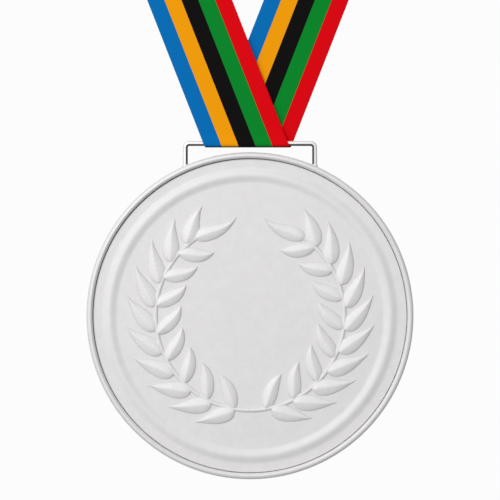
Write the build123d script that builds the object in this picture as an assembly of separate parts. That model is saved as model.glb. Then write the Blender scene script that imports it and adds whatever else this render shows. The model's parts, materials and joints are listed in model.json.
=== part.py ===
"""Round award medal hanging from a striped neck ribbon.

Frame: millimetres, +Z up, -Y towards the front of the medal.  The origin is on the
neck side of the ribbon, in the middle of the sewn lap at the nape, where a wearer's
neck carries it.  The medal is stored hanging.
"""
import os
from math import acos, cos, degrees, pi, radians, sin, sqrt, tan

from build123d import *

# ---- medal ---------------------------------------------------------------------
MEDAL_D = 80.0
MEDAL_R = MEDAL_D / 2
RIM_T = 4.0                 # full thickness, at the bezel ring
BEZEL_W = 1.5               # radial width of the bezel ring at the front
BEZEL_ROUND = 0.85          # rounding of its outer edges
BORE_ROUND = 0.25           # rounding of its inner front edge
LIP_W = 1.2                 # how far the back lip reaches inwards past the bore
LIP_T = 0.6
DISC_GAP = 0.1              # shadow gap between the disc and the bezel's bore
RIM_STEP = 0.8              # how far the bezel stands above the disc's flat border
RIDGE_R = 34.4              # crest radius of the rounded ridge
RIDGE_W = 4.0
RIDGE_H = 0.46
PLATE_R = 30.0              # engraving plate on the back
PLATE_T = 0.6
PLATE_GAP = 0.2

# ---- laurel wreath, angles in degrees measured from the bottom of the disc ----------
STEM_R = 23.1
STEM_W = 1.0
STEM_H = 0.45
STEM_END = 148.0
LEAF_H = 0.75
OUTER_LEAVES = 10
OUTER_TIPS = {-1: (27.8, 14.35), 1: (31.3, 13.7)}   # first tip and step, left and right
OUTER_TIP_R = 30.5
OUTER_BASE_R = 23.4
OUTER_SPAN = 19.0                                   # from a leaf's base to its tip
OUTER_W = 3.9
INNER_LEAVES = 8
INNER_TIPS = {-1: (28.5, 17.4), 1: (28.2, 18.2)}
INNER_TIP_R = 16.9
INNER_BASE_R = 22.8
INNER_SPAN = 19.0
INNER_W = 3.4
END_LEAF_TIP, END_LEAF_TIP_R, END_LEAF_W = 172.5, 24.4, 3.4

# ---- ribbon bail -----------------------------------------------------------------
WIRE_R = 0.58
BAIL_HALF = 15.86           # wire centre to the medal's middle plane
BAR_ABOVE_DISC = 2.17       # bar axis above the top of the bezel ring
BAIL_CORNER_R = 0.95
TENON_END = 35.8            # how near the tenons come to the disc's centre
BRAZE_R = 0.85
BRAZE_TOP_R = 0.62
BRAZE_H = 0.6

# ---- ribbon ------------------------------------------------------------------------
RIBBON_W = 19.4
RIBBON_T = 0.3
BAR_CLEARANCE = 0.1         # between the bar and the ribbon turned round it
V_ANGLE = radians(21.4)     # each strap's lean from the vertical
STRAP_LENGTH = 188.5        # straight run from the bar to the shoulder
SHOULDER_R = 38.0           # bend from the chest back over the shoulder
SHOULDER_TURN = radians(75.0)
LAP_HALF = 8.0              # the two ends overlap by twice this at the nape
LAYER_GAP = 0.02            # between the two layers of the lap
MEDAL_OFFSET_X = 0.5        # the medal hangs this far right of the ribbon's middle
STITCH_L, STITCH_W, STITCH_T = 2.0, 0.4, 0.15
STITCH_ROWS = 2
STITCHES_PER_ROW = 6

TURN_R = WIRE_R + BAR_CLEARANCE + RIBBON_T / 2
BAR_HEIGHT = MEDAL_R + BAR_ABOVE_DISC


# ---- medal pieces, drawn face up: local +Y is the medal's top, local +Z its front ----
def turned(points_and_arcs):
    """Revolve a closed profile, given in radius and height, about the disc's axis."""
    profile = make_face(Plane.XZ * Wire(points_and_arcs))
    return revolve(profile, Axis.Z)


def segments(points):
    """Straight edges through the points, in order."""
    return [Line(a, b) for a, b in zip(points, points[1:])]


def tenon_holes():
    hole_len = MEDAL_R - TENON_END
    for side in (-1, 1):
        centre = (side * BAIL_HALF, TENON_END + hole_len / 2, 0)
        yield Pos(*centre) * Rot(90, 0, 0) * Cylinder(WIRE_R, hole_len)


def bezel_ring():
    bore = MEDAL_R - BEZEL_W
    lip_r = bore - LIP_W
    top, back = RIM_T / 2, -RIM_T / 2
    corners = [(bore, top), (MEDAL_R, top), (MEDAL_R, back), (lip_r, back),
               (lip_r, back + LIP_T), (bore, back + LIP_T), (bore, top)]
    ring = turned(segments(corners))
    rims = ring.edges().filter_by(GeomType.CIRCLE)
    outer = [e for e in rims if abs(e.radius - MEDAL_R) < 0.01]
    ring = fillet(outer, BEZEL_ROUND)
    rims = ring.edges().filter_by(GeomType.CIRCLE)
    inner_front = [e for e in rims if abs(e.radius - bore) < 0.01 and e.center().Z > 0]
    ring = fillet(inner_front, BORE_ROUND)
    for hole in tenon_holes():
        ring -= hole
    return ring


FIELD_Z = RIM_T / 2 - RIM_STEP
DISC_BACK_Z = -RIM_T / 2 + LIP_T


def struck_disc():
    disc_r = MEDAL_R - BEZEL_W - DISC_GAP
    recess_r = PLATE_R + PLATE_GAP
    floor = DISC_BACK_Z + PLATE_T
    ridge_out = (RIDGE_R + RIDGE_W / 2, FIELD_Z)
    ridge_in = (RIDGE_R - RIDGE_W / 2, FIELD_Z)
    outside = [(0, floor), (recess_r, floor), (recess_r, DISC_BACK_Z), (disc_r, DISC_BACK_Z),
               (disc_r, FIELD_Z), ridge_out]
    ridge = ThreePointArc(ridge_out, (RIDGE_R, FIELD_Z + RIDGE_H), ridge_in)
    inside = [ridge_in, (0, FIELD_Z), (0, floor)]
    return turned(segments(outside) + [ridge] + segments(inside))


def reverse_plate():
    return Pos(0, 0, DISC_BACK_Z + PLATE_T / 2) * Cylinder(PLATE_R, PLATE_T)


def wreath_point(radius, angle):
    """A point of the left branch; the angle runs clockwise from the disc's bottom."""
    return Vector(-radius * sin(radians(angle)), -radius * cos(radians(angle)))


def leaf(base, tip, width):
    """Lens of two arcs from the stem to the tip, raised above the disc's field."""
    along = (tip - base).normalized()
    across = Vector(-along.Y, along.X) * (width / 2)
    middle = (base + tip) / 2
    outline = [ThreePointArc(base, middle + across, tip),
               ThreePointArc(tip, middle - across, base)]
    return Pos(0, 0, FIELD_Z) * extrude(make_face(Wire(outline)), LEAF_H)


def stem():
    """Arc of stem from the bottom of the disc up the left side."""
    ring = Cylinder(STEM_R + STEM_W / 2, STEM_H) - Cylinder(STEM_R - STEM_W / 2, STEM_H)
    parting = degrees(STEM_W / STEM_R / 8)
    reach = 2 * STEM_R
    steps = 6
    arc = [parting + (STEM_END - parting) * i / steps for i in range(steps + 1)]
    outline = [Vector(0, 0)] + [wreath_point(reach, angle) for angle in arc] + [Vector(0, 0)]
    wedge = extrude(make_face(Wire(segments(outline))), 2 * STEM_H, both=True)
    return Pos(0, 0, FIELD_Z + STEM_H / 2) * (ring & wedge)


def laurel_branch(side):
    """One branch: its stem with the outer, inner and end leaves.  side is -1 or 1."""
    branch = stem()
    first, step = OUTER_TIPS[side]
    last_base = STEM_END - 2
    for k in range(OUTER_LEAVES):
        tip = first + step * k
        base = min(tip - OUTER_SPAN, last_base)
        branch += leaf(wreath_point(OUTER_BASE_R, base), wreath_point(OUTER_TIP_R, tip), OUTER_W)
    first, step = INNER_TIPS[side]
    for k in range(INNER_LEAVES):
        tip = first + step * k
        base = tip - INNER_SPAN
        branch += leaf(wreath_point(INNER_BASE_R, base), wreath_point(INNER_TIP_R, tip), INNER_W)
    branch += leaf(wreath_point(STEM_R, last_base), wreath_point(END_LEAF_TIP_R, END_LEAF_TIP),
                   END_LEAF_W)
    if side > 0:
        branch = branch.mirror(Plane.YZ)
    return branch


def ribbon_bail():
    path = FilletPolyline((-BAIL_HALF, TENON_END), (-BAIL_HALF, BAR_HEIGHT),
                          (BAIL_HALF, BAR_HEIGHT), (BAIL_HALF, TENON_END),
                          radius=BAIL_CORNER_R)
    start = Plane(origin=path @ 0, z_dir=path % 0)
    return sweep(start * Circle(WIRE_R), path=path)


def bail_braze(side):
    """Collar of braze round a bail leg, lying on the bezel ring's outside."""
    seat = sqrt(MEDAL_R ** 2 - BAIL_HALF ** 2)
    cone = Cone(BRAZE_R, BRAZE_TOP_R, BRAZE_H)
    collar = Pos(side * BAIL_HALF, seat + BRAZE_H / 8, 0) * Rot(-90, 0, 0) * cone
    wire = Pos(side * BAIL_HALF, seat, 0) * Rot(90, 0, 0) * Cylinder(WIRE_R, 4 * BRAZE_H)
    return collar - wire - Cylinder(MEDAL_R, RIM_T)


# ---- ribbon, drawn round the bar: the bar's axis is X through (0, 0, 0) ---------------
def toward(angle, x_part, other_part):
    return x_part * cos(angle) + other_part * sin(angle)


STRAP_DIR = Vector(-sin(V_ANGLE), 0, cos(V_ANGLE))       # up the left strap
STRAP_WIDE = Vector(cos(V_ANGLE), 0, sin(V_ANGLE))       # from its outer to its inner edge
TURN_SHIFT = TURN_R * pi / 2 * tan(V_ANGLE)              # sideways travel of half the turn
SHOULDER_DIR = STRAP_DIR * cos(SHOULDER_TURN) + Vector(0, sin(SHOULDER_TURN), 0)
NECK_TURN = acos(SHOULDER_DIR.X)                         # turn left to face along +X
NECK_UP = Vector(0, SHOULDER_DIR.Y, SHOULDER_DIR.Z).normalized()
NECK_WIDE = Vector(0, -NECK_UP.Z, NECK_UP.Y)             # width direction at the nape
STRAP_TOP = Vector(-TURN_SHIFT, 0, 0) + STRAP_DIR * STRAP_LENGTH
SHOULDER_END = (STRAP_TOP + STRAP_DIR * (SHOULDER_R * sin(SHOULDER_TURN))
                + Vector(0, SHOULDER_R * (1 - cos(SHOULDER_TURN)), 0))
NECK_R = (-LAP_HALF - SHOULDER_END.X) / sin(NECK_TURN)
NECK_END = (SHOULDER_END + Vector(NECK_R * sin(NECK_TURN), 0, 0)
            + NECK_UP * (NECK_R * (1 - cos(NECK_TURN))))
TWIST = acos(STRAP_WIDE.dot(NECK_WIDE - SHOULDER_DIR * NECK_WIDE.dot(SHOULDER_DIR)))
TWIST_RUN = SHOULDER_R * SHOULDER_TURN                   # twist spreads this far each way


def smooth(t):
    t = min(max(t, 0.0), 1.0)
    return t * t * (3 - 2 * t)


def rolled(vector, axis, angle):
    """The vector turned about a unit axis that it is square to."""
    return vector * cos(angle) + axis.cross(vector) * sin(angle)


def left_station(s):
    """Point, direction and width direction of the left half, s mm past the strap's top."""
    bend_len = SHOULDER_R * SHOULDER_TURN
    neck_len = NECK_R * NECK_TURN
    roll = TWIST * smooth((s - bend_len + TWIST_RUN) / (2 * TWIST_RUN))
    if s <= bend_len:
        a = s / SHOULDER_R
        point = STRAP_TOP + STRAP_DIR * (SHOULDER_R * sin(a)) + Vector(0, SHOULDER_R * (1 - cos(a)), 0)
        ahead = STRAP_DIR * cos(a) + Vector(0, sin(a), 0)
        return point, ahead, rolled(STRAP_WIDE, ahead, -roll)
    if s <= bend_len + neck_len:
        left = NECK_TURN - (s - bend_len) / NECK_R
        point = (NECK_END - Vector(NECK_R * sin(left), 0, 0) - NECK_UP * (NECK_R * (1 - cos(left))))
        ahead = Vector(cos(left), 0, 0) + NECK_UP * sin(left)
        return point, ahead, rolled(NECK_WIDE, ahead, TWIST - roll)
    beyond = s - bend_len - neck_len
    return NECK_END + Vector(beyond, 0, 0), Vector(1, 0, 0), NECK_WIDE


BEND_STEPS = 8
NECK_STEPS = 16


def neck_stations():
    """Arc lengths of the sections from the strap's top to the end of the lap."""
    bend_len = SHOULDER_R * SHOULDER_TURN
    neck_len = NECK_R * NECK_TURN
    bend = [bend_len * i / BEND_STEPS for i in range(BEND_STEPS)]
    neck = [bend_len + neck_len * i / NECK_STEPS for i in range(NECK_STEPS + 1)]
    return bend + neck + [bend_len + neck_len + 2 * LAP_HALF]


def ribbon_section(point, ahead, wide):
    thick = ahead.cross(wide) * (RIBBON_T / 2)
    half = wide * (RIBBON_W / 2)
    corners = [point - half - thick, point + half - thick, point + half + thick, point - half + thick]
    return Wire.make_polygon(corners, close=True)


def ribbon_neck(side):
    """From the strap's top over the shoulder and round the nape.  The left half (-1) comes
    from in front of the bar and lies inside at the lap, the right half (1) from behind it."""
    lap_shift = (RIBBON_T + LAYER_GAP) / 2
    last = neck_stations()[-1] - 2 * LAP_HALF
    sections = []
    for s in neck_stations():
        point, ahead, wide = left_station(s)
        drift = TURN_R + (lap_shift - TURN_R) * smooth(s / last)
        wire = ribbon_section(point, ahead, wide)
        if side > 0:
            wire = wire.mirror(Plane.YZ)
        sections.append(Pos(0, side * drift, 0) * wire)
    return Solid.make_loft(sections, ruled=True)


def ribbon_strap(side):
    """Straight strap, level where it meets the turn and square at the shoulder."""
    half_level = RIBBON_W / 2 / cos(V_ANGLE)
    half = STRAP_WIDE * (RIBBON_W / 2)
    corners = [Vector(-TURN_SHIFT - half_level, 0, 0), Vector(-TURN_SHIFT + half_level, 0, 0),
               STRAP_TOP + half, STRAP_TOP - half]
    face = Face(Wire.make_polygon(corners, close=True))
    strap = extrude(face, RIBBON_T / 2, dir=(0, 1, 0), both=True)
    if side > 0:
        strap = strap.mirror(Plane.YZ)
    return Pos(0, side * TURN_R, 0) * strap


def ribbon_bar_turn():
    """The half turn under the bar, slipping sideways as a slanting ribbon does."""
    outer_r, inner_r = TURN_R + RIBBON_T / 2, TURN_R - RIBBON_T / 2
    length = 2 * RIBBON_W
    tube = Rot(0, 90, 0) * (Cylinder(outer_r, length) - Cylinder(inner_r, length))
    half_level = RIBBON_W / 2 / cos(V_ANGLE)
    slip = TURN_SHIFT / TURN_R * outer_r
    corners = [(-half_level - slip, -outer_r), (half_level - slip, -outer_r),
               (half_level + slip, outer_r), (-half_level + slip, outer_r), (-half_level - slip, -outer_r)]
    below = extrude(make_face(Wire(segments(corners))), 2 * outer_r, dir=(0, 0, -1))
    return tube & below


def seam_stitching():
    """Rows of short stitches lying on the outer layer of the lap."""
    shift = (RIBBON_T + LAYER_GAP) / 2
    outward = Vector(1, 0, 0).cross(NECK_WIDE) * -1
    surface = NECK_END + Vector(LAP_HALF, shift, 0) + outward * (RIBBON_T / 2)
    stitch_plane = Plane(origin=surface, x_dir=(1, 0, 0), z_dir=outward)
    pitch = (RIBBON_W - STITCH_L) / STITCHES_PER_ROW
    stitches = []
    for row in range(STITCH_ROWS):
        x = (row - (STITCH_ROWS - 1) / 2) * (2 * LAP_HALF - 4)
        for i in range(STITCHES_PER_ROW):
            y = (i - (STITCHES_PER_ROW - 1) / 2) * pitch
            stitch = SlotOverall(STITCH_L, STITCH_W, rotation=90)
            stitches.append(extrude(stitch_plane * Pos(x, y) * stitch, STITCH_T))
    return Compound(children=stitches)


# ---- assembly ----------------------------------------------------------------------
NAPE = NECK_END + Vector(LAP_HALF, 0, 0)
HALF_STACK = RIBBON_T + LAYER_GAP / 2
INWARD = Vector(1, 0, 0).cross(NECK_WIDE)
ORIGIN = NAPE + INWARD * HALF_STACK
UPRIGHT = Pos(*(Vector(MEDAL_OFFSET_X, 0, -BAR_HEIGHT) - ORIGIN)) * Rot(90, 0, 0)
ROUND_BAR = Pos(*(ORIGIN * -1))

NODES = {
    "bezel_ring": UPRIGHT * bezel_ring(),
    "struck_disc": UPRIGHT * struck_disc(),
    "reverse_plate": UPRIGHT * reverse_plate(),
    "laurel_branch_left": UPRIGHT * laurel_branch(-1),
    "laurel_branch_right": UPRIGHT * laurel_branch(1),
    "ribbon_bail": UPRIGHT * ribbon_bail(),
    "bail_braze_left": UPRIGHT * bail_braze(-1),
    "bail_braze_right": UPRIGHT * bail_braze(1),
    "ribbon_front_strap": ROUND_BAR * ribbon_strap(-1),
    "ribbon_back_strap": ROUND_BAR * ribbon_strap(1),
    "ribbon_bar_turn": ROUND_BAR * ribbon_bar_turn(),
    "ribbon_neck_left": ROUND_BAR * ribbon_neck(-1),
    "ribbon_neck_right": ROUND_BAR * ribbon_neck(1),
    "ribbon_seam_stitching": ROUND_BAR * seam_stitching(),
}

os.makedirs("parts", exist_ok=True)
for name, shape in NODES.items():
    export_step(shape, f"parts/{name}.step")

half_len = STRAP_LENGTH + SHOULDER_R * SHOULDER_TURN + NECK_R * NECK_TURN + 2 * LAP_HALF
print("ribbon cut length", round(2 * half_len + pi * TURN_R / cos(V_ANGLE), 1))
print("bar axis at", tuple(round(v, 3) for v in ORIGIN * -1), "neck radius", round(NECK_R, 1))
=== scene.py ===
import json
import math

import bmesh
import bpy
import numpy as np
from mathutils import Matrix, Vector


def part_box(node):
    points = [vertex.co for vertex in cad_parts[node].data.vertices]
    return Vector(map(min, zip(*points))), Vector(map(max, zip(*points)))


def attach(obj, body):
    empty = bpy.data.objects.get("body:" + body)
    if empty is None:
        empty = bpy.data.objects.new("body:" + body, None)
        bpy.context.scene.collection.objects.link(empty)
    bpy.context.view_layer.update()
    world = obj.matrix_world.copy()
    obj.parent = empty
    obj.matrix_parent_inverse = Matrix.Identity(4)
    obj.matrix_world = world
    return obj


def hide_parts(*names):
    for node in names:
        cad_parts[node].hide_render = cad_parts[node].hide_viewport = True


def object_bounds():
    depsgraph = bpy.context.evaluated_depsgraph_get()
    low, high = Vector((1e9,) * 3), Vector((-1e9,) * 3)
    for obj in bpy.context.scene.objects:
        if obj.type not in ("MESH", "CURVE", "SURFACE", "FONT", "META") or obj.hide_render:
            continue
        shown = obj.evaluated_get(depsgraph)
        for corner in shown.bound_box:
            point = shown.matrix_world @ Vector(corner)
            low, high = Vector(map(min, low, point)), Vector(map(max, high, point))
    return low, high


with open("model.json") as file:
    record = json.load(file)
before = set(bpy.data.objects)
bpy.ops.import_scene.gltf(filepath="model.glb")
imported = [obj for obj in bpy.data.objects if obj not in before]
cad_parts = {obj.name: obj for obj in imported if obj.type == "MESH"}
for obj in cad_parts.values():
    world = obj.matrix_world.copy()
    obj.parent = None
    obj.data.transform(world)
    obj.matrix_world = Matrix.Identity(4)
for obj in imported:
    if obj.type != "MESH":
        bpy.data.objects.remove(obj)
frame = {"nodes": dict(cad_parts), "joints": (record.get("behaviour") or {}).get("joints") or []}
CAD_LOW, CAD_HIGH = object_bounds()

MM = 0.001
NODES = frame["nodes"]

# ---- places read from the frame ------------------------------------------------------
BAR = Vector(frame["joints"][0]["pos_m"])                 # on the axis of the bail's bar
RING_LOW, RING_HIGH = (Vector(c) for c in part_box("bezel_ring"))
DISC_LOW, DISC_HIGH = (Vector(c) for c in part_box("struck_disc"))
CENTRE = (RING_LOW + RING_HIGH) / 2
DISC_R = (DISC_HIGH.x - DISC_LOW.x) / 2
FIELD_Y = Vector(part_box("laurel_branch_left")[1]).y       # the plane of the disc's field
BACK_Y = DISC_HIGH.y

# ======================================================================================
# Camera
# ======================================================================================
LENS_MM = 200.0
SENSOR_MM = 36.0
FRAME_WIDTH = 122.15 * MM       # what the picture spans at the medal's face
AIM_ABOVE_CENTRE = 16.08 * MM


def make_camera():
    data = bpy.data.cameras.new("camera")
    data.lens = LENS_MM
    data.sensor_width = SENSOR_MM
    data.clip_start = 0.01
    data.clip_end = 50
    camera = bpy.data.objects.new("camera", data)
    bpy.context.scene.collection.objects.link(camera)
    distance = FRAME_WIDTH * LENS_MM / SENSOR_MM
    camera.location = (CENTRE.x, RING_LOW.y - distance, CENTRE.z + AIM_ABOVE_CENTRE)
    camera.rotation_euler = (math.radians(90), 0, 0)
    bpy.context.scene.camera = camera


make_camera()


# ======================================================================================
# Helpers
# ======================================================================================
def add_piece(name, mesh, material, body, replaces=()):
    obj = bpy.data.objects.new(name, mesh)
    bpy.context.scene.collection.objects.link(obj)
    obj.data.materials.append(material)
    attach(obj, body)
    if replaces:
        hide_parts(*replaces)
    return obj


def mesh_from(name, vertices, faces):
    mesh = bpy.data.meshes.new(name)
    mesh.from_pydata([tuple(v) for v in vertices], [], faces)
    work = bmesh.new()
    work.from_mesh(mesh)
    bmesh.ops.recalc_face_normals(work, faces=work.faces)
    work.to_mesh(mesh)
    work.free()
    mesh.shade_smooth()
    return mesh


def use_material(obj, material):
    if not obj.material_slots:
        obj.data.materials.append(material)
    for slot in obj.material_slots:
        slot.link = "OBJECT"
        slot.material = material


class Tree:
    """A material's or the world's node tree, built one node at a time."""

    def __init__(self, owner):
        owner.use_nodes = True
        self.tree = owner.node_tree
        self.tree.nodes.clear()

    def add(self, kind, inputs=None, **settings):
        node = self.tree.nodes.new(kind)
        for key, value in settings.items():
            setattr(node, key, value)
        for key, value in (inputs or {}).items():
            if isinstance(value, bpy.types.NodeSocket):
                self.tree.links.new(value, node.inputs[key])
            else:
                node.inputs[key].default_value = value
        return node

    def math(self, operation, *values, clamp=False):
        node = self.add("ShaderNodeMath", dict(enumerate(values)), operation=operation, use_clamp=clamp)
        return node.outputs[0]

    def range(self, value, from_low, from_high, to_low=0.0, to_high=1.0, kind="SMOOTHSTEP"):
        node = self.add("ShaderNodeMapRange", {0: value, 1: from_low, 2: from_high, 3: to_low, 4: to_high},
                        interpolation_type=kind)
        return node.outputs[0]

    def ramp(self, value, stops, interpolation="LINEAR"):
        node = self.add("ShaderNodeValToRGB", {0: value})
        node.color_ramp.interpolation = interpolation
        elements = node.color_ramp.elements
        while len(elements) < len(stops):
            elements.new(0.5)
        for element, (place, colour) in zip(elements, stops):
            element.position = place
            element.color = (*colour, 1.0)
        return node.outputs["Color"]

    def noise(self, vector, scale, detail=3.0, roughness=0.55):
        node = self.add("ShaderNodeTexNoise", {"Vector": vector, "Scale": scale, "Detail": detail,
                                               "Roughness": roughness})
        return node.outputs["Fac"]

    def output(self, shader, kind="ShaderNodeOutputMaterial"):
        self.add(kind, {"Surface": shader})


# ======================================================================================
# Metal materials
# ======================================================================================
GRAIN_SCALE, GRAIN_TONE = 5200.0, 0.04     # each noise's scale and how much it moves the tone
MOTTLE_SCALE, MOTTLE_TONE = 420.0, 0.10
CLOUD_SCALE, CLOUD_TONE, CLOUD_ROUGH = 70.0, 0.05, 0.12
GRAIN_DEPTH = 0.03 * MM
BRUSH_STRETCH = 0.05
GREEN_SHARE, BLUE_SHARE = 0.985, 0.995     # of the red, for a nearly neutral silver


def silver(name, base, rough, grain, metallic, brushed=False, shade_and_highlight_strength=0.0):
    """Silver plate with a fine grain, mottling and cloudy patches of sheen."""
    material = bpy.data.materials.new(name)
    t = Tree(material)
    place = t.add("ShaderNodeTexCoord").outputs["Object"]
    if brushed:
        stretch = t.add("ShaderNodeMapping", {"Vector": place, "Scale": (BRUSH_STRETCH, 1.0, 1.0)})
        fine = t.noise(stretch.outputs[0], GRAIN_SCALE)
    else:
        fine = t.noise(place, GRAIN_SCALE)
    cloud = t.noise(place, CLOUD_SCALE)
    tone = t.math("MULTIPLY_ADD", cloud, CLOUD_TONE, base - CLOUD_TONE / 2)
    mottle = t.noise(place, MOTTLE_SCALE, detail=4.0, roughness=0.65)
    value = t.math("MULTIPLY_ADD", mottle, MOTTLE_TONE, t.math("SUBTRACT", tone, MOTTLE_TONE / 2))
    value = t.math("MULTIPLY_ADD", fine, GRAIN_TONE, t.math("SUBTRACT", value, GRAIN_TONE / 2))
    # painted shade and highlight: the vertex attribute darkens the tone, and lightens it where negative
    if shade_and_highlight_strength:
        painted_shade_and_highlight = t.add("ShaderNodeAttribute", attribute_name="painted_shade_and_highlight").outputs["Fac"]
        value = t.math("MULTIPLY", value, t.math("MULTIPLY_ADD", painted_shade_and_highlight, -shade_and_highlight_strength, 1.0))
    colour = t.add("ShaderNodeCombineColor", {"Red": value,
                                              "Green": t.math("MULTIPLY", value, GREEN_SHARE),
                                              "Blue": t.math("MULTIPLY", value, BLUE_SHARE)})
    roughness = t.math("MULTIPLY_ADD", cloud, CLOUD_ROUGH, rough - CLOUD_ROUGH / 2)
    bump = t.add("ShaderNodeBump", {"Height": fine, "Strength": grain, "Distance": GRAIN_DEPTH})
    shader = t.add("ShaderNodeBsdfPrincipled", {"Base Color": colour.outputs[0], "Roughness": roughness,
                                                "Metallic": metallic, "Normal": bump.outputs[0]})
    t.output(shader.outputs[0])
    return material


# ======================================================================================
# Medal
# ======================================================================================
RIDGE_R = 34.4 * MM
RIDGE_HALF = 2.0 * MM
RIDGE_H = 0.46 * MM
EDGE_ROUND = 0.1 * MM
GROOVE_R = 38.33 * MM          # a dark groove runs between the field and the rim
GROOVE_DEPTH = 0.3 * MM
GROOVE_SHADE_REACH = 0.3 * MM       # how far the groove's painted shade reaches onto the field
RIM_BORE_R = 38.5 * MM
RIM_ROUND = 0.85 * MM
BORE_CHAMFER = 0.48 * MM
LIP_R = 37.3 * MM              # the rim's back lip reaches in over the disc
LIP_ROUND = 0.25 * MM
RECESS_R = 30.25 * MM
RECESS_DEPTH = 0.6 * MM
PLATE_R = 30.0 * MM
PLATE_ROUND = 0.3 * MM
TURNS = 360
SHADE_LEAST = 0.1             # painted shade on the side away from the upper left, as a share


def directional(amount):
    """Share of the painted shade left where `amount` of a surface lies on the darker side."""
    return SHADE_LEAST + (1 - SHADE_LEAST) * amount


def darken(mesh, amounts):
    """Painted shade of every vertex, negative where a highlight is painted, stored as a vertex attribute
    that the materials read.
    """
    mesh.attributes.new("painted_shade_and_highlight", "FLOAT", "POINT").data.foreach_set("value", amounts)


def lathe(name, profile):
    """Closed solid turned about the medal's axis.  The profile is in radius and y, and its
    first and last points lie on the axis."""
    vertices = [(CENTRE.x, profile[0][1], CENTRE.z)]
    for radius, y in profile[1:-1]:
        for i in range(TURNS):
            a = 2 * math.pi * i / TURNS
            vertices.append((CENTRE.x + radius * math.sin(a), y, CENTRE.z + radius * math.cos(a)))
    vertices.append((CENTRE.x, profile[-1][1], CENTRE.z))
    rings = len(profile) - 2
    last = len(vertices) - 1
    end = 1 + (rings - 1) * TURNS
    faces = []
    for i in range(TURNS):
        j = (i + 1) % TURNS
        faces.append((0, 1 + j, 1 + i))
        for a in range(1, end, TURNS):
            faces.append((a + i, a + j, a + TURNS + j, a + TURNS + i))
        faces.append((last, end + i, end + j))
    return mesh_from(name, vertices, faces)


def ridge_height(radius):
    """Rounded ridge that runs smoothly into the field on both sides."""
    t = min(abs(radius - RIDGE_R) / RIDGE_HALF, 1.0)
    return RIDGE_H * (1 + math.cos(math.pi * t)) / 2


def disc_profile():
    """From the centre of the face outwards, round the edge and back to the centre."""
    points = [(0.0, FIELD_Y)]
    radius = 2 * MM
    while radius < GROOVE_R - GROOVE_SHADE_REACH:
        points.append((radius, FIELD_Y - ridge_height(radius)))
        near_ridge = abs(radius + 0.5 * MM - RIDGE_R) < RIDGE_HALF + MM
        radius += 0.12 * MM if near_ridge else 1.0 * MM
    quarter = [math.pi / 2 * i / 4 for i in range(5)]
    lip = GROOVE_R - EDGE_ROUND
    points.append((GROOVE_R - GROOVE_SHADE_REACH, FIELD_Y))
    points += [(lip + EDGE_ROUND * math.sin(a), FIELD_Y + EDGE_ROUND * (1 - math.cos(a))) for a in quarter]
    points += [(GROOVE_R, FIELD_Y + GROOVE_DEPTH / 2), (GROOVE_R, FIELD_Y + GROOVE_DEPTH),
               (DISC_R, FIELD_Y + GROOVE_DEPTH)]
    rim = DISC_R - EDGE_ROUND
    points += [(rim + EDGE_ROUND * math.cos(a), BACK_Y - EDGE_ROUND * (1 - math.sin(a))) for a in quarter]
    points += [(RECESS_R + 0.05 * MM, BACK_Y), (RECESS_R, BACK_Y - 0.05 * MM),
               (RECESS_R, BACK_Y - RECESS_DEPTH), (0.0, BACK_Y - RECESS_DEPTH)]
    return points


def upper_left(x, z):
    """1 on the upper left of the medal's centre, where the photo's groove is darkest,
    falling to 0 square to that."""
    return max((z - x) / math.sqrt(2) / max(math.hypot(x, z), 1e-9), 0.0)


def disc_mesh():
    mesh = lathe("medal_disc", disc_profile())
    amounts = []
    # painted shade in the groove round the field's edge, strongest on the upper left
    for vertex in mesh.vertices:
        x, z = vertex.co.x - CENTRE.x, vertex.co.z - CENTRE.z
        border = (math.hypot(x, z) - GROOVE_R + GROOVE_SHADE_REACH) / (GROOVE_SHADE_REACH - EDGE_ROUND)
        seen = 1.0 if vertex.co.y < FIELD_Y + GROOVE_DEPTH + EDGE_ROUND else 0.0
        amounts.append(min(max(border, 0.0), 1.0) * seen * directional(upper_left(x, z)))
    darken(mesh, amounts)
    return mesh


def rim_mesh():
    """The rim's rounded section, turned about the medal's axis."""
    front, back, outer = RING_LOW.y, RING_HIGH.y, (RING_HIGH.x - RING_LOW.x) / 2

    def corner(radius, y, size, start):
        for i in range(9):
            a = math.radians(start + 90 * i / 8)
            yield radius + size * math.cos(a), y + size * math.sin(a)

    section = list(corner(outer - RIM_ROUND, front + RIM_ROUND, RIM_ROUND, -90))
    section += corner(outer - RIM_ROUND, back - RIM_ROUND, RIM_ROUND, 0)
    section += corner(LIP_R + LIP_ROUND, back - LIP_ROUND, LIP_ROUND, 90)
    section += [(LIP_R, BACK_Y), (RIM_BORE_R, BACK_Y), (RIM_BORE_R, FIELD_Y),
                (RIM_BORE_R, front + BORE_CHAMFER),
                (RIM_BORE_R + 0.88 * BORE_CHAMFER, front + 0.1 * BORE_CHAMFER),
                (RIM_BORE_R + 1.1 * BORE_CHAMFER, front)]
    n = len(section)
    vertices, amounts = [], []
    for i in range(TURNS):
        a = 2 * math.pi * i / TURNS
        for radius, y in section:
            vertices.append((CENTRE.x + radius * math.sin(a), y, CENTRE.z + radius * math.cos(a)))
            # painted shade on the rim's bore chamfer, strongest on the upper left
            inside = radius < RIM_BORE_R + 0.5 * BORE_CHAMFER and y < BACK_Y
            amounts.append(directional(upper_left(math.sin(a), math.cos(a))) if inside else 0.0)
    faces = []
    for i in range(TURNS):
        j = (i + 1) % TURNS
        for k in range(n):
            m = (k + 1) % n
            faces.append((i * n + k, j * n + k, j * n + m, i * n + m))
    mesh = mesh_from("rim_bezel", vertices, faces)
    mesh.set_sharp_from_angle(angle=math.radians(40))
    darken(mesh, amounts)
    return mesh


def plate_profile():
    """The engraving plate: flat, its outer edge rounded over."""
    floor, rim = BACK_Y - RECESS_DEPTH, PLATE_R - PLATE_ROUND
    points = [(0.0, floor), (PLATE_R, floor)]
    for i in range(7):
        a = math.pi / 2 * i / 6
        points.append((rim + PLATE_ROUND * math.cos(a), BACK_Y - PLATE_ROUND * (1 - math.sin(a))))
    points += [(rim * k / 8, BACK_Y) for k in range(7, 0, -1)]
    return points + [(0.0, BACK_Y)]


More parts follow.
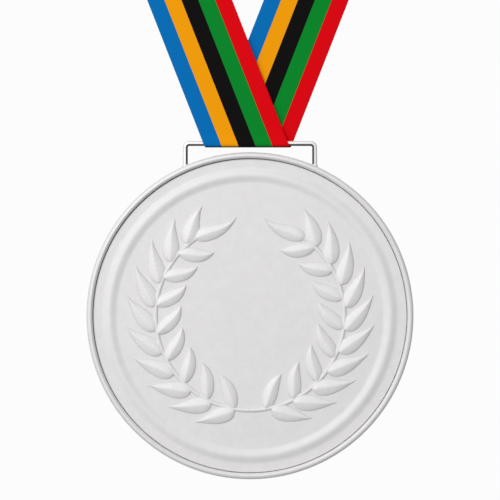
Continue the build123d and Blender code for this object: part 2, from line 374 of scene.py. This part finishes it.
# ---- laurel relief: a height above the field, in mm, worked out point by point --------
STEM_R = 23.1
STEM_HALF = 0.5
STEM_H = 0.42
STEM_END = 148.0
LEAF_H = 0.78
OUTER_LEAVES = 10
OUTER_TIPS = {-1: (27.8, 14.35), 1: (31.3, 13.7)}         # first tip and step, degrees
OUTER_TIP_R, OUTER_BASE_R, OUTER_SPAN, OUTER_W = 30.6, 23.6, 18.5, 4.1
OUTER_WIDEST, OUTER_BEND = 0.28, 0.5
INNER_LEAVES = 8
INNER_TIPS = {-1: (28.5, 17.4), 1: (28.2, 18.2)}
INNER_TIP_R, INNER_BASE_R, INNER_SPAN, INNER_W = 16.2, 22.9, 19.0, 3.6
INNER_WIDEST, INNER_BEND = 0.38, 0.55
END_TIP, END_TIP_R, END_W, END_BEND = 172.5, 24.5, 3.7, 0.9
LEAF_BLUNT = 0.5               # how quickly a leaf's outline opens at its base
CREST_POWER = 0.4              # how quickly its height rises from base and tip
PILLOW_POWER = 2.2
ROOF = 0.55                    # share of the leaf's height that is a straight slope
VEIN_H, VEIN_PITCH, VEIN_SLANT = 0.012, 1.1, 1.3
EDGE_HIGH = 0.35               # share of the height below which a leaf's flank gets painted shade
EDGE_LEAST = 0.25              # painted shade of the flanks that face away from the shaded side
APRON = 0.30                   # thin foot round the leaves, painted dark as shade
APRON_H = 0.012
TOP_HIGHLIGHT = 0.12                    # how much lighter than the field the leaf tops are painted, a painted highlight
SHADED_SIDE = (0.9, 0.44)      # right and down: the side whose leaf flanks get the most painted shade
SUNK = 0.06                    # how far the relief's skirt goes under the field
GRID = 0.124


def polar(radius, angle, side):
    """Point of the face, mm from its centre; the angle is measured from the bottom."""
    a = math.radians(angle)
    return np.array((side * radius * math.sin(a), -radius * math.cos(a)))


def leaf_height(x, z, base, tip, width, widest, bend):
    """Between a pillow and a roof, with a round base, a drawn-out tip and a hooked axis."""
    axis = tip - base
    length = math.hypot(*axis)
    along = axis / length
    t = ((x - base[0]) * along[0] + (z - base[1]) * along[1]) / length
    inside = np.clip(t, 0.0, 1.0)
    hook = 27 / 4 * inside ** 2 * (1 - inside)        # 0 at both ends, 1 two thirds along
    d = (z - base[1]) * along[0] - (x - base[0]) * along[1] - bend * hook
    taper = LEAF_BLUNT * (1 - widest) / widest
    outline = (inside / widest) ** LEAF_BLUNT * ((1 - inside) / (1 - widest)) ** taper
    half = np.maximum(width / 2 * outline, 1e-4)
    q = np.abs(d) / half
    pillow = np.clip(1 - q ** PILLOW_POWER, 0, 1) ** 0.5
    roof = np.clip(1.1 - np.hypot(q, 0.1), 0, 1)      # its ridge is slightly rounded
    crest = LEAF_H * np.clip(outline, 0, 1) ** CREST_POWER
    body = crest * ((1 - ROOF) * pillow + ROOF * roof)
    vein = np.cos(2 * math.pi * (inside * length / VEIN_PITCH - VEIN_SLANT * q))
    body = body + VEIN_H * pillow * vein
    beyond = np.maximum(np.maximum(-t, t - 1), 0) * length
    gap = np.maximum((q - 1) * half, 0) + beyond
    return np.where((q < 1) & (beyond <= 0), np.maximum(body, 0), -gap)


def stem_height(x, z, side):
    radius = np.hypot(x, z)
    angle = np.degrees(np.arctan2(side * x, -z))
    q = np.abs(radius - STEM_R) / STEM_HALF
    past = np.maximum(np.maximum(angle - STEM_END, -angle), 0) * math.radians(1) * STEM_R
    gap = np.maximum(q - 1, 0) * STEM_HALF + past
    return np.where(gap <= 0, STEM_H * np.sqrt(np.clip(1 - q ** 2, 0, 1)), -gap)


def branch_leaves(side):
    """(base, tip, width, widest, bend) of every leaf of one branch."""
    leaves = []
    first, step = OUTER_TIPS[side]
    for k in range(OUTER_LEAVES):
        tip = first + step * k
        base = min(tip - OUTER_SPAN, STEM_END - 3)
        off_middle = abs(2 * k / (OUTER_LEAVES - 1) - 1)
        tip_r = OUTER_TIP_R - 1.2 * off_middle ** 3
        bend = -side * OUTER_BEND * (0.3 + 0.7 * k / (OUTER_LEAVES - 1))
        leaves.append((polar(OUTER_BASE_R, base, side), polar(tip_r, tip, side), OUTER_W,
                       OUTER_WIDEST, bend))
    first, step = INNER_TIPS[side]
    for k in range(INNER_LEAVES):
        tip = first + step * k
        leaves.append((polar(INNER_BASE_R, tip - INNER_SPAN, side),
                       polar(INNER_TIP_R + 0.22 * k, tip, side), INNER_W, INNER_WIDEST,
                       side * INNER_BEND))
    leaves.append((polar(STEM_R, STEM_END - 3, side), polar(END_TIP_R, END_TIP, side), END_W,
                   OUTER_WIDEST, side * END_BEND))
    return leaves


def relief_height(x, z, side):
    height = stem_height(x, z, side)
    for leaf in branch_leaves(side):
        base, tip = leaf[:2]
        reach = np.linalg.norm(tip - base) * 0.62 + 0.5
        middle = (base + tip) / 2
        near = (x - middle[0]) ** 2 + (z - middle[1]) ** 2 < reach ** 2
        height[near] = np.maximum(height[near], leaf_height(x[near], z[near], *leaf))
    return height


def laurel_relief(name, side):
    """Closed mesh of one branch, standing on the field with its skirt just under it."""
    x, z = np.meshgrid(np.arange(0, 31.6, GRID) * side, np.arange(-31.6, 31.6, GRID), indexing="ij")
    height = relief_height(x, z, side)
    # painted shade low on the flanks and on the foot, strongest on the lower-right side, and a painted
    # highlight on the tops
    painted_shade_and_highlight = np.where(height > 0, 1 - height / (EDGE_HIGH * LEAF_H), 1 + height / APRON).clip(0, 1)
    slope_x, slope_z = np.gradient(height, x[1, 0] - x[0, 0], GRID)
    steepness = np.maximum(np.hypot(slope_x, slope_z), 1e-6)
    facing = ((slope_z * SHADED_SIDE[1] - slope_x * SHADED_SIDE[0]) / steepness).clip(0, 1)
    painted_shade_and_highlight = painted_shade_and_highlight * (EDGE_LEAST + (1 - EDGE_LEAST) * facing)
    painted_shade_and_highlight -= TOP_HIGHLIGHT * np.clip(height / LEAF_H, 0, 1)
    height = np.where(height > 0, height + APRON_H, (APRON_H + SUNK) * (1 + height / APRON) - SUNK)
    height = np.maximum(height, -SUNK)
    above = height > -SUNK + 1e-6
    cells = above[:-1, :-1] | above[1:, :-1] | above[:-1, 1:] | above[1:, 1:]
    used = np.zeros_like(above)
    for di in (0, 1):
        for dj in (0, 1):
            used[di:used.shape[0] - 1 + di, dj:used.shape[1] - 1 + dj] |= cells
    count = int(used.sum())
    index = np.full(used.shape, -1, dtype=int)
    index[used] = np.arange(count)
    top = np.stack([CENTRE.x + x[used] * MM, FIELD_Y - height[used] * MM, CENTRE.z + z[used] * MM], axis=1)
    bottom = top.copy()
    bottom[:, 1] = FIELD_Y + 2 * SUNK * MM
    i, j = np.nonzero(cells)
    quads = np.stack([index[i, j], index[i + 1, j], index[i + 1, j + 1], index[i, j + 1]], axis=1).tolist()
    faces = quads + [[v + count for v in reversed(quad)] for quad in quads]
    rim = set()
    for quad in quads:
        for a, b in zip(quad, quad[1:] + quad[:1]):
            if (b, a) in rim:
                rim.discard((b, a))
            else:
                rim.add((a, b))
    faces += [(b, a, a + count, b + count) for a, b in sorted(rim)]
    mesh = mesh_from(name, np.concatenate([top, bottom]), faces)
    darken(mesh, np.tile(painted_shade_and_highlight[used], 2))
    return mesh


# ---- bail: a wire with a flat front, round outer edges and a steep inner bevel --------
BAIL_LOW, BAIL_HIGH = (Vector(c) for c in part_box("ribbon_bail"))
BAIL_CORNER_R = 0.95 * MM
WIRE_HALF = 0.60               # in mm, like the two below
WIRE_ROUND = 0.47
WIRE_BEVEL = [(-WIRE_HALF, 0.0), (-0.56, -0.08), (-0.18, -0.50)]      # the inner bevel, painted dark as shade
CORNER_STEPS = 12


def bail_section():
    """Once round the wire, in mm from its centre: (outward from the opening, y)."""
    points = WIRE_BEVEL + [(-0.10, -WIRE_HALF)]
    flat = WIRE_HALF - WIRE_ROUND
    for out, y, start in ((flat, -flat, -90), (flat, flat, 0), (-flat, flat, 90)):
        for i in range(7):
            a = math.radians(start + 15 * i)
            points.append((out + WIRE_ROUND * math.cos(a), y + WIRE_ROUND * math.sin(a)))
    return points


def bail_mesh():
    half = (BAIL_HIGH.x - BAIL_LOW.x) / 2 - WIRE_HALF * MM
    top = BAR.z
    path = [(-half, BAIL_LOW.z, 180), (-half, top - BAIL_CORNER_R, 180)]
    for side, start in ((-1, 180), (1, 90)):
        for i in range(1, CORNER_STEPS):
            facing = start - 90 * i / CORNER_STEPS
            a = math.radians(facing)
            path.append((side * (half - BAIL_CORNER_R) + BAIL_CORNER_R * math.cos(a),
                         top - BAIL_CORNER_R + BAIL_CORNER_R * math.sin(a), facing))
        end = side * (half - BAIL_CORNER_R), top
        if side < 0:
            path += [(*end, 90), (-end[0], top, 90)]
    path += [(half, top - BAIL_CORNER_R, 0), (half, BAIL_LOW.z, 0)]
    section = bail_section()
    n = len(section)
    vertices = []
    for x, z, facing in path:
        outward = (math.cos(math.radians(facing)), math.sin(math.radians(facing)))
        for out, y in section:
            vertices.append((CENTRE.x + x + outward[0] * out * MM, BAR.y + y * MM,
                             z + outward[1] * out * MM))
    faces = [tuple(range(n)), tuple(range(len(vertices) - 1, len(vertices) - 1 - n, -1))]
    for r in range(len(path) - 1):
        for k in range(n):
            a, b = r * n + k, r * n + (k + 1) % n
            faces.append((a, b, b + n, a + n))
    mesh = mesh_from("bail_wire", vertices, faces)
    mesh.set_sharp_from_angle(angle=math.radians(35))
    # painted shade on the wire's inner bevel
    darken(mesh, [1.0 if k < len(WIRE_BEVEL) else 0.0 for k in range(n)] * len(path))
    return mesh


def build_medal():
    # the strengths set how dark the painted shade gets, and how light the painted highlight on the leaf
    # tops
    face = silver("frosted_silver", base=0.83, rough=0.64, grain=0.25, metallic=0.36, shade_and_highlight_strength=0.38)
    rim = silver("rim_silver", base=0.84, rough=0.60, grain=0.15, metallic=0.45, shade_and_highlight_strength=0.35)
    plate = silver("plate_silver", base=0.78, rough=0.36, grain=0.3, metallic=0.95, brushed=True)
    wire = silver("wire_silver", base=0.93, rough=0.45, grain=0.1, metallic=0.7, shade_and_highlight_strength=0.88)

    add_piece("medal_disc", disc_mesh(), face, "medal", ["struck_disc"])
    add_piece("rim_bezel", rim_mesh(), rim, "medal", ["bezel_ring"])
    for side, node in ((-1, "laurel_branch_left"), (1, "laurel_branch_right")):
        name = node.replace("branch", "relief")
        add_piece(name, laurel_relief(name, side), face, "medal", [node])
    add_piece("bail_wire", bail_mesh(), wire, "medal", ["ribbon_bail"])
    add_piece("engraving_plate", lathe("engraving_plate", plate_profile()), plate, "medal",
              ["reverse_plate"])
    for node in ("bail_braze_left", "bail_braze_right"):
        use_material(NODES[node], wire)


# ======================================================================================
# Ribbon
# ======================================================================================
RIBBON_W = 19.4 * MM
RIBBON_T = 0.3 * MM
V_ANGLE = math.radians(21.4)
STRAP_LENGTH = 188.5 * MM
SHOULDER_R = 38.0 * MM
SHOULDER_TURN = math.radians(75.0)
LAP_HALF = 8.0 * MM
LAYER_GAP = 0.02 * MM
MEDAL_OFFSET_X = 0.5 * MM
TURN_R = 0.83 * MM             # the bar's radius, a clearance and half the ribbon
PINCH = 0.4 * MM               # how far the straps draw together just above the bar
PINCH_RISE, PINCH_HOLD, PINCH_RUN = 2.2 * MM, 8.0 * MM, 60.0 * MM

STRAP_DIR = Vector((-math.sin(V_ANGLE), 0, math.cos(V_ANGLE)))
STRAP_WIDE = Vector((math.cos(V_ANGLE), 0, math.sin(V_ANGLE)))
TURN_SHIFT = TURN_R * math.pi / 2 * math.tan(V_ANGLE)
CROSSING = BAR - Vector((MEDAL_OFFSET_X, 0, 0))          # the ribbon's middle, on the bar
BACKWARD = Vector((0, 1, 0))
RIGHT = Vector((1, 0, 0))
SHOULDER_DIR = STRAP_DIR * math.cos(SHOULDER_TURN) + BACKWARD * math.sin(SHOULDER_TURN)
NECK_TURN = math.acos(SHOULDER_DIR.x)
NECK_UP = Vector((0, SHOULDER_DIR.y, SHOULDER_DIR.z)).normalized()
NECK_WIDE = Vector((0, -NECK_UP.z, NECK_UP.y))
STRAP_TOP = Vector((-TURN_SHIFT, 0, 0)) + STRAP_DIR * STRAP_LENGTH
SHOULDER_END = (STRAP_TOP + STRAP_DIR * (SHOULDER_R * math.sin(SHOULDER_TURN))
                + BACKWARD * (SHOULDER_R * (1 - math.cos(SHOULDER_TURN))))
NECK_R = (-LAP_HALF - SHOULDER_END.x) / math.sin(NECK_TURN)
NECK_END = (SHOULDER_END + RIGHT * (NECK_R * math.sin(NECK_TURN))
            + NECK_UP * (NECK_R * (1 - math.cos(NECK_TURN))))
BEND_LEN = SHOULDER_R * SHOULDER_TURN
NECK_LEN = NECK_R * NECK_TURN
END_LEN = BEND_LEN + NECK_LEN + 2 * LAP_HALF             # from a strap's top to its end
TURN_LEN = math.pi * TURN_R / math.cos(V_ANGLE)
TWIST = math.acos(STRAP_WIDE.dot(NECK_WIDE - SHOULDER_DIR * NECK_WIDE.dot(SHOULDER_DIR)))


def smooth(t):
    t = min(max(t, 0.0), 1.0)
    return t * t * (3 - 2 * t)


def rolled(vector, axis, angle):
    return vector * math.cos(angle) + axis.cross(vector) * math.sin(angle)


def left_station(s):
    """Point, direction and width direction of the left half, s past the strap's top."""
    roll = TWIST * smooth(s / (2 * BEND_LEN))
    if s <= BEND_LEN:
        a = s / SHOULDER_R
        point = (STRAP_TOP + STRAP_DIR * (SHOULDER_R * math.sin(a))
                 + BACKWARD * (SHOULDER_R * (1 - math.cos(a))))
        ahead = STRAP_DIR * math.cos(a) + BACKWARD * math.sin(a)
        return point, ahead, rolled(STRAP_WIDE, ahead, -roll)
    if s <= BEND_LEN + NECK_LEN:
        left = NECK_TURN - (s - BEND_LEN) / NECK_R
        point = (NECK_END - RIGHT * (NECK_R * math.sin(left))
                 - NECK_UP * (NECK_R * (1 - math.cos(left))))
        ahead = RIGHT * math.cos(left) + NECK_UP * math.sin(left)
        return point, ahead, rolled(NECK_WIDE, ahead, TWIST - roll)
    return NECK_END + RIGHT * (s - BEND_LEN - NECK_LEN), RIGHT, NECK_WIDE


def end_row(side, s, across):
    """Middle-surface points, normal and arc length past a strap's top, for one half."""
    point, ahead, wide = left_station(s)
    lap_shift = (RIBBON_T + LAYER_GAP) / 2
    drift = TURN_R + (lap_shift - TURN_R) * smooth(s / (BEND_LEN + NECK_LEN))
    if side > 0:
        point, ahead, wide = (Vector((-v.x, v.y, v.z)) for v in (point, ahead, wide))
    centre = point + BACKWARD * (side * drift)
    normal = wide.cross(ahead)
    along = END_LEN - s if side < 0 else END_LEN + 2 * STRAP_LENGTH + TURN_LEN + s
    return [(centre - wide * (side * u), normal, along) for u in across]


def strap_run(side, u):
    """Length of the strap at u across, from the shoulder down to the level of the bar."""
    return STRAP_LENGTH - side * u * math.tan(V_ANGLE)


def strap_depth(z):
    """How far a strap's middle surface lies from the bar's plane, z above the bar."""
    pinch = smooth(z / PINCH_RISE) * (1 - smooth((z - PINCH_HOLD) / PINCH_RUN))
    return TURN_R - PINCH * pinch


def strap_row(side, v, across):
    """v runs from 0 at the shoulder to 1 at the bar."""
    row = []
    for u in across:
        point = STRAP_TOP - STRAP_WIDE * (side * u) - STRAP_DIR * (strap_run(side, u) * v)
        if side > 0:
            point = Vector((-point.x, point.y, point.z))
        along = END_LEN + strap_run(-1, u) * v
        if side > 0:
            along = END_LEN + strap_run(-1, u) + TURN_LEN + strap_run(1, u) * (1 - v)
        slope = (strap_depth(point.z + 0.05 * MM) - strap_depth(point.z)) / (0.05 * MM)
        normal = Vector((0, side, -slope)).normalized()
        row.append((point + BACKWARD * (side * strap_depth(point.z)), normal, along))
    return row


def turn_row(angle, across):
    """angle runs from 0 in front of the bar to pi behind it."""
    out = Vector((0, -math.cos(angle), -math.sin(angle)))
    shift = TURN_SHIFT * (2 * angle / math.pi - 1)
    row = []
    for u in across:
        point = RIGHT * (shift + u / math.cos(V_ANGLE)) + out * TURN_R
        row.append((point, out, END_LEN + strap_run(-1, u) + TURN_LEN * angle / math.pi))
    return row


SHADE_FROM = 0.45              # below this share of its radius the fold under the bar is painted dark as shade
ABOVE_BAR = [0.3, 0.6, 0.9, 1.2, 1.5, 1.8, 2.1, 2.5, 3, 4, 6, 9, 13, 18, 24, 30, 38, 46, 55, 66, 80,
             96, 112, 130, 148, 166]          # rows of the straps, in mm from the bar


def section_outline():
    """Across the ribbon and its thickness, once round, in metres."""
    half_w, half_t = RIBBON_W / 2, RIBBON_T / 2
    face = [(-half_w, 0.0), (-half_w + 0.03 * MM, 0.6 * half_t), (-half_w + 0.12 * MM, 0.95 * half_t)]
    inner = [-half_w + 0.5 * MM + (RIBBON_W - MM) * i / 19 for i in range(20)]
    face += [(u, half_t) for u in inner]
    face += [(-u, h) for u, h in reversed(face[1:3])]
    back = [(-u, -h) for u, h in face]
    return face + [(half_w, 0.0)] + back[1:]


def ribbon_mesh():
    """One continuous strip from the lap's inner end, round the bar, to its outer end."""
    outline = section_outline()
    across = [u for u, h in outline]
    rows = []
    bend = [BEND_LEN * i / 24 for i in range(24)]
    neck = [BEND_LEN + NECK_LEN * i / 60 for i in range(61)]
    stations = bend + neck + [BEND_LEN + NECK_LEN + 2 * LAP_HALF * i / 4 for i in range(1, 5)]
    rows += [end_row(-1, s, across) for s in reversed(stations)]
    runs = [1 - d * MM / STRAP_LENGTH for d in ABOVE_BAR]
    rows += [strap_row(-1, v, across) for v in reversed(runs)]
    rows += [turn_row(math.pi * i / 20, across) for i in range(21)]
    rows += [strap_row(1, v, across) for v in runs]
    rows += [end_row(1, s, across) for s in stations]
    vertices, uvs, shade = [], [], []
    for row in rows:
        for (point, normal, along), (u, h) in zip(row, outline):
            vertices.append(CROSSING + point + normal * h)
            uvs.append(((u + RIBBON_W / 2) / RIBBON_W, along / RIBBON_W))
            # painted shade on the underside of the fold round the bar
            shade.append(smooth((-point.z / TURN_R - SHADE_FROM) / SHADE_FROM))
    n = len(outline)
    faces = [tuple(range(n)), tuple(range(len(vertices) - 1, len(vertices) - 1 - n, -1))]
    for r in range(len(rows) - 1):
        for k in range(n):
            a, b = r * n + k, r * n + (k + 1) % n
            faces.append((a, b, b + n, a + n))
    mesh = mesh_from("neck_ribbon_strip", vertices, faces)
    layer = mesh.uv_layers.new(name="weave")
    for loop in mesh.loops:
        layer.data[loop.index].uv = uvs[loop.vertex_index]
    darken(mesh, shade)
    return mesh


def linear(*srgb):
    return tuple((c / 255 / 12.92) if c <= 10 else ((c / 255 + 0.055) / 1.055) ** 2.4 for c in srgb)


WARP_PITCH, WEFT_PITCH = 0.40 * MM, 0.60 * MM
WEAVE_DEPTH = 0.04 * MM
FOLD_SHADE_SHARE = 0.85               # how far the fold under the bar is painted towards its shade colour, a painted shade
# colour of the painted shade on the fold
FOLD_SHADE_COLOUR = (0.004, 0.004, 0.005, 1.0)
STRIPES = [linear(3, 112, 186), linear(248, 161, 5), linear(15, 13, 14), linear(6, 137, 44),
           linear(226, 2, 16)]


def ribbon_material():
    material = bpy.data.materials.new("striped_ribbon_weave")
    t = Tree(material)
    uv = t.add("ShaderNodeUVMap", uv_map="weave").outputs[0]
    split = t.add("ShaderNodeSeparateXYZ", {0: uv})
    across, along = split.outputs[0], split.outputs[1]
    stops = [(i / 5, colour) for i, colour in enumerate(STRIPES)]
    stripes = t.ramp(across, stops, "CONSTANT")
    # painted shade: the fold's stripes are mixed towards near black
    painted_shade_and_highlight = t.add("ShaderNodeAttribute", attribute_name="painted_shade_and_highlight").outputs["Fac"]
    colour = t.add("ShaderNodeMix", {0: t.math("MULTIPLY", painted_shade_and_highlight, FOLD_SHADE_SHARE), 6: stripes,
                                     7: FOLD_SHADE_COLOUR}, data_type="RGBA").outputs[2]
    warp = t.math("SINE", t.math("MULTIPLY", across, 2 * math.pi * RIBBON_W / WARP_PITCH))
    weft = t.math("SINE", t.math("MULTIPLY", along, 2 * math.pi * RIBBON_W / WEFT_PITCH))
    weave = t.math("ADD", t.math("MULTIPLY", weft, 0.7), t.math("MULTIPLY", warp, 0.3))
    bump = t.add("ShaderNodeBump", {"Height": weave, "Strength": 0.35, "Distance": WEAVE_DEPTH})
    shader = t.add("ShaderNodeBsdfPrincipled", {"Base Color": colour, "Roughness": 0.75,
                                                "Specular IOR Level": 0.06, "Normal": bump.outputs[0]})
    t.output(shader.outputs[0])
    return material


RIBBON_NODES = ["ribbon_front_strap", "ribbon_back_strap", "ribbon_bar_turn", "ribbon_neck_left",
                "ribbon_neck_right"]


def build_ribbon():
    ribbon = add_piece("neck_ribbon_strip", ribbon_mesh(), ribbon_material(), "neck_ribbon",
                       RIBBON_NODES)


# ---- stitches of the lap -------------------------------------------------------------
STITCH_L = 2.0 * MM
THREAD_R = 0.17 * MM
STITCH_ROWS = 2
STITCHES_PER_ROW = 6
ROW_INSET = 2.0 * MM           # from the lap's ends
ARCH, ARCH_DIP = 0.10 * MM, 0.24 * MM
THREAD_SIDES, THREAD_STEPS = 10, 12


def stitch_mesh():
    """Short arched threads on both faces of the lap, dipping into the cloth at their ends."""
    outward = NECK_WIDE.cross(RIGHT)
    lap_middle = CROSSING + NECK_END + RIGHT * LAP_HALF
    face = RIBBON_T + LAYER_GAP / 2
    pitch = (RIBBON_W - STITCH_L) / STITCHES_PER_ROW
    sides, steps = THREAD_SIDES, THREAD_STEPS
    vertices, faces = [], []
    for out in (outward, -outward):
        for row in range(STITCH_ROWS):
            x = (row - (STITCH_ROWS - 1) / 2) * 2 * (LAP_HALF - ROW_INSET)
            for i in range(STITCHES_PER_ROW):
                y = (i - (STITCHES_PER_ROW - 1) / 2) * pitch
                first = len(vertices)
                for k in range(steps + 1):
                    f = 2 * k / steps - 1
                    centre = (lap_middle + RIGHT * x + NECK_WIDE * (y + f * STITCH_L / 2)
                              + out * (face + ARCH - ARCH_DIP * f * f * f * f))
                    for j in range(sides):
                        a = 2 * math.pi * j / sides
                        vertices.append(centre + RIGHT * (THREAD_R * math.cos(a))
                                        + out * (0.6 * THREAD_R * math.sin(a)))
                for k in range(steps):
                    for j in range(sides):
                        a, b = first + k * sides + j, first + k * sides + (j + 1) % sides
                        faces.append((a, b, b + sides, a + sides))
                faces.append(tuple(range(first, first + sides)))
                faces.append(tuple(range(len(vertices) - 1, len(vertices) - 1 - sides, -1)))
    return mesh_from("lap_stitches", vertices, faces)


def thread_material():
    material = bpy.data.materials.new("sewing_thread")
    t = Tree(material)
    place = t.add("ShaderNodeTexCoord").outputs["Object"]
    strands = t.add("ShaderNodeTexWave", {"Vector": place, "Scale": 900.0, "Distortion": 0.5},
                    wave_type="BANDS", bands_direction="DIAGONAL")
    colour = t.ramp(strands.outputs["Fac"], [(0.0, linear(24, 22, 26)), (1.0, linear(52, 48, 54))])
    bump = t.add("ShaderNodeBump", {"Height": strands.outputs["Fac"], "Strength": 0.4,
                                    "Distance": WEAVE_DEPTH})
    shader = t.add("ShaderNodeBsdfPrincipled", {"Base Color": colour, "Roughness": 0.6,
                                                "Normal": bump.outputs[0]})
    t.output(shader.outputs[0])
    return material


def build_stitches():
    add_piece("lap_stitches", stitch_mesh(), thread_material(), "neck_ribbon",
              ["ribbon_seam_stitching"])


# ======================================================================================
# Stage: floor, world and lights
# ======================================================================================
BACKGROUND = 0.975
FLOOR_DROP, FLOOR_R, FLOOR_SEGMENTS = 0.09, 9.0, 96
FLOOR_FADE = 0.25, 1.0          # where the floor starts and ends its fade to the background
KEY_FROM = Vector((-0.42, -0.80, 0.42)).normalized()
KEY_DISTANCE, KEY_SIZE, KEY_POWER = 0.42, 0.2, 0.44
AROUND_KEY = [(0.0, 0.15), (0.5, 0.30), (0.70, 0.66), (0.80, 0.84)]   # away from it to towards
BEHIND_RANGE, BEHIND_LEVEL = (0.15, 0.85), 0.62


def build_world():
    world = bpy.data.worlds.new("studio")
    bpy.context.scene.world = world
    t = Tree(world)
    direction = t.add("ShaderNodeTexCoord").outputs["Generated"]
    toward_key = t.add("ShaderNodeVectorMath", {0: direction, 1: KEY_FROM}, operation="DOT_PRODUCT")
    place = t.range(toward_key.outputs["Value"], -1.0, 1.0, kind="LINEAR")
    light = t.ramp(place, [(stop, (level,) * 3) for stop, level in AROUND_KEY])
    away = t.add("ShaderNodeSeparateXYZ", {0: direction}).outputs["Y"]
    behind = t.range(away, *BEHIND_RANGE, 0.0, BEHIND_LEVEL)
    both = t.add("ShaderNodeVectorMath", {0: light, 1: behind}, operation="ADD")
    lighting = t.add("ShaderNodeBackground", {"Color": both.outputs[0], "Strength": 1.0})
    seen = t.add("ShaderNodeBackground", {"Color": (1, 1, 1, 1), "Strength": BACKGROUND})
    camera_ray = t.add("ShaderNodeLightPath").outputs["Is Camera Ray"]
    mix = t.add("ShaderNodeMixShader", {0: camera_ray, 1: lighting.outputs[0], 2: seen.outputs[0]})
    t.output(mix.outputs[0], "ShaderNodeOutputWorld")


def build_floor():
    z = CAD_LOW[2] - FLOOR_DROP
    vertices = [(CENTRE.x, CENTRE.y, z)]
    for i in range(FLOOR_SEGMENTS):
        a = 2 * math.pi * i / FLOOR_SEGMENTS
        vertices.append((CENTRE.x + FLOOR_R * math.cos(a), CENTRE.y + FLOOR_R * math.sin(a), z))
    faces = [(0, 1 + i, 1 + (i + 1) % FLOOR_SEGMENTS) for i in range(FLOOR_SEGMENTS)]
    mesh = bpy.data.meshes.new("studio_floor")
    mesh.from_pydata(vertices, [], faces)
    floor = bpy.data.objects.new("studio_floor", mesh)
    bpy.context.scene.collection.objects.link(floor)
    material = bpy.data.materials.new("studio_floor")
    t = Tree(material)
    place = t.add("ShaderNodeTexCoord").outputs["Object"]
    offset = t.add("ShaderNodeVectorMath", {0: place, 1: (CENTRE.x, CENTRE.y, z)}, operation="SUBTRACT")
    distance = t.add("ShaderNodeVectorMath", {0: offset.outputs[0]}, operation="LENGTH")
    far = t.range(distance.outputs["Value"], *FLOOR_FADE)
    near = t.add("ShaderNodeBsdfDiffuse", {"Color": (0.9, 0.9, 0.9, 1)})
    glow = t.add("ShaderNodeEmission", {"Color": (1, 1, 1, 1), "Strength": BACKGROUND})
    mix = t.add("ShaderNodeMixShader", {0: far, 1: near.outputs[0], 2: glow.outputs[0]})
    t.output(mix.outputs[0])
    mesh.materials.append(material)
    floor.visible_glossy = False
    floor.visible_diffuse = False


def area_light(name, direction, distance, size, power):
    data = bpy.data.lights.new(name, "AREA")
    data.shape = "DISK"
    data.size = size
    data.energy = power
    light = bpy.data.objects.new(name, data)
    bpy.context.scene.collection.objects.link(light)
    light.location = CENTRE + direction * distance
    light.rotation_euler = direction.to_track_quat("Z", "Y").to_euler()


def build_stage():
    build_world()
    build_floor()
    area_light("key", KEY_FROM, KEY_DISTANCE, KEY_SIZE, KEY_POWER)
    bpy.context.scene.view_settings.view_transform = "Standard"


build_medal()
build_ribbon()
build_stitches()
build_stage()
